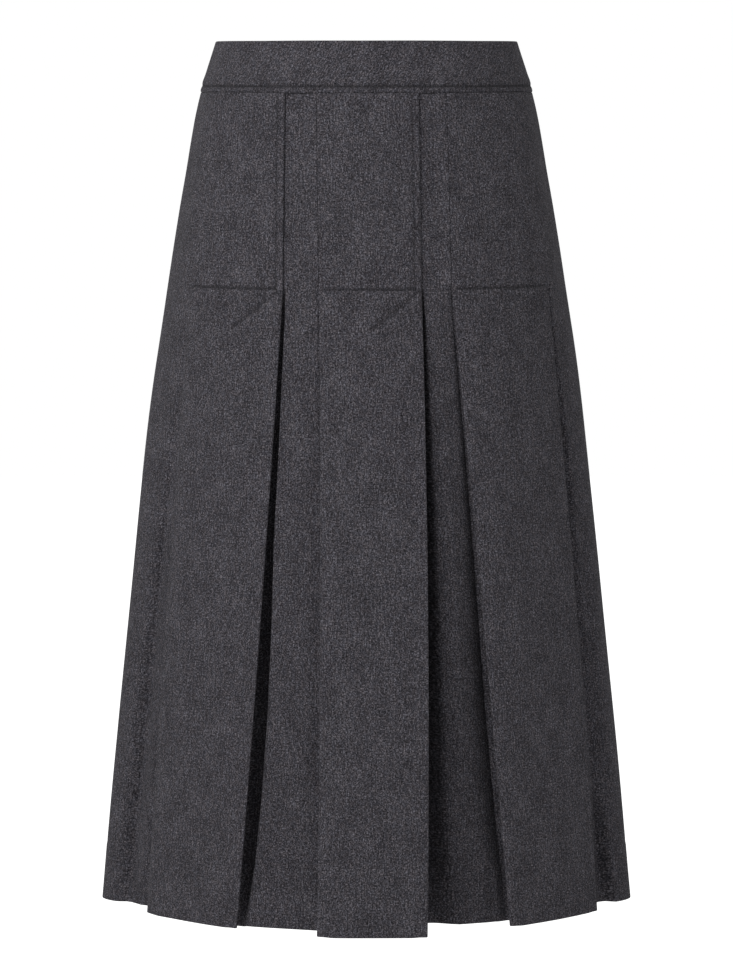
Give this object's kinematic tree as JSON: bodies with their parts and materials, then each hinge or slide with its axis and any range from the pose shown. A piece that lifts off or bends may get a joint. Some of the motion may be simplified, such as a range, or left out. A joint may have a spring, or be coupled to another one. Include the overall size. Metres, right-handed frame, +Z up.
{
  "type": "pleated midi skirt",
  "caption": "Box-pleated midi skirt in charcoal flannel, hollow and hanging open as worn, with a stitched waistband and a side zip.",
  "frame": {"origin": "centre of the waist opening, level with the waistband's top edge, on the wearer's axis", "axes": "+Z up along the wearer's axis, -Y the way the front faces, +X towards the wearer's left side"},
  "size_m": [0.4658, 0.3706, 0.7509],
  "materials": {
    "wool_flannel": "milled charcoal wool flannel, salt-and-pepper melange, soft short nap",
    "zip_tape": "fine woven polyester tape",
    "zip_metal": "dark lacquered, satin"
  },
  "bodies": {
    "skirt": {"waistband_front": "wool_flannel", "waistband_back": "wool_flannel", "front_panel_right": "wool_flannel", "front_panel_centre": "wool_flannel", "front_panel_left": "wool_flannel", "front_underlay_right": "wool_flannel", "front_underlay_left": "wool_flannel", "back_panel_left": "wool_flannel", "back_panel_centre": "wool_flannel", "back_panel_right": "wool_flannel", "back_underlay_left": "wool_flannel", "back_underlay_right": "wool_flannel", "side_front_left": "wool_flannel", "side_back_left": "wool_flannel", "side_front_right": "wool_flannel", "side_back_right": "wool_flannel", "zip_tape": "zip_tape", "zip_slider": "zip_metal"},
    "zip_pull": {"zip_pull": "zip_metal"}
  },
  "joints": [
    {"name": "zip_pull_swing", "type": "hinge", "parent": "skirt", "child": "zip_pull", "pos_m": [0.13163, 0.02403, -0.01227], "axis": [0.3394, -0.9406, -0.0029], "range_deg": [0, 150]}
  ]
}
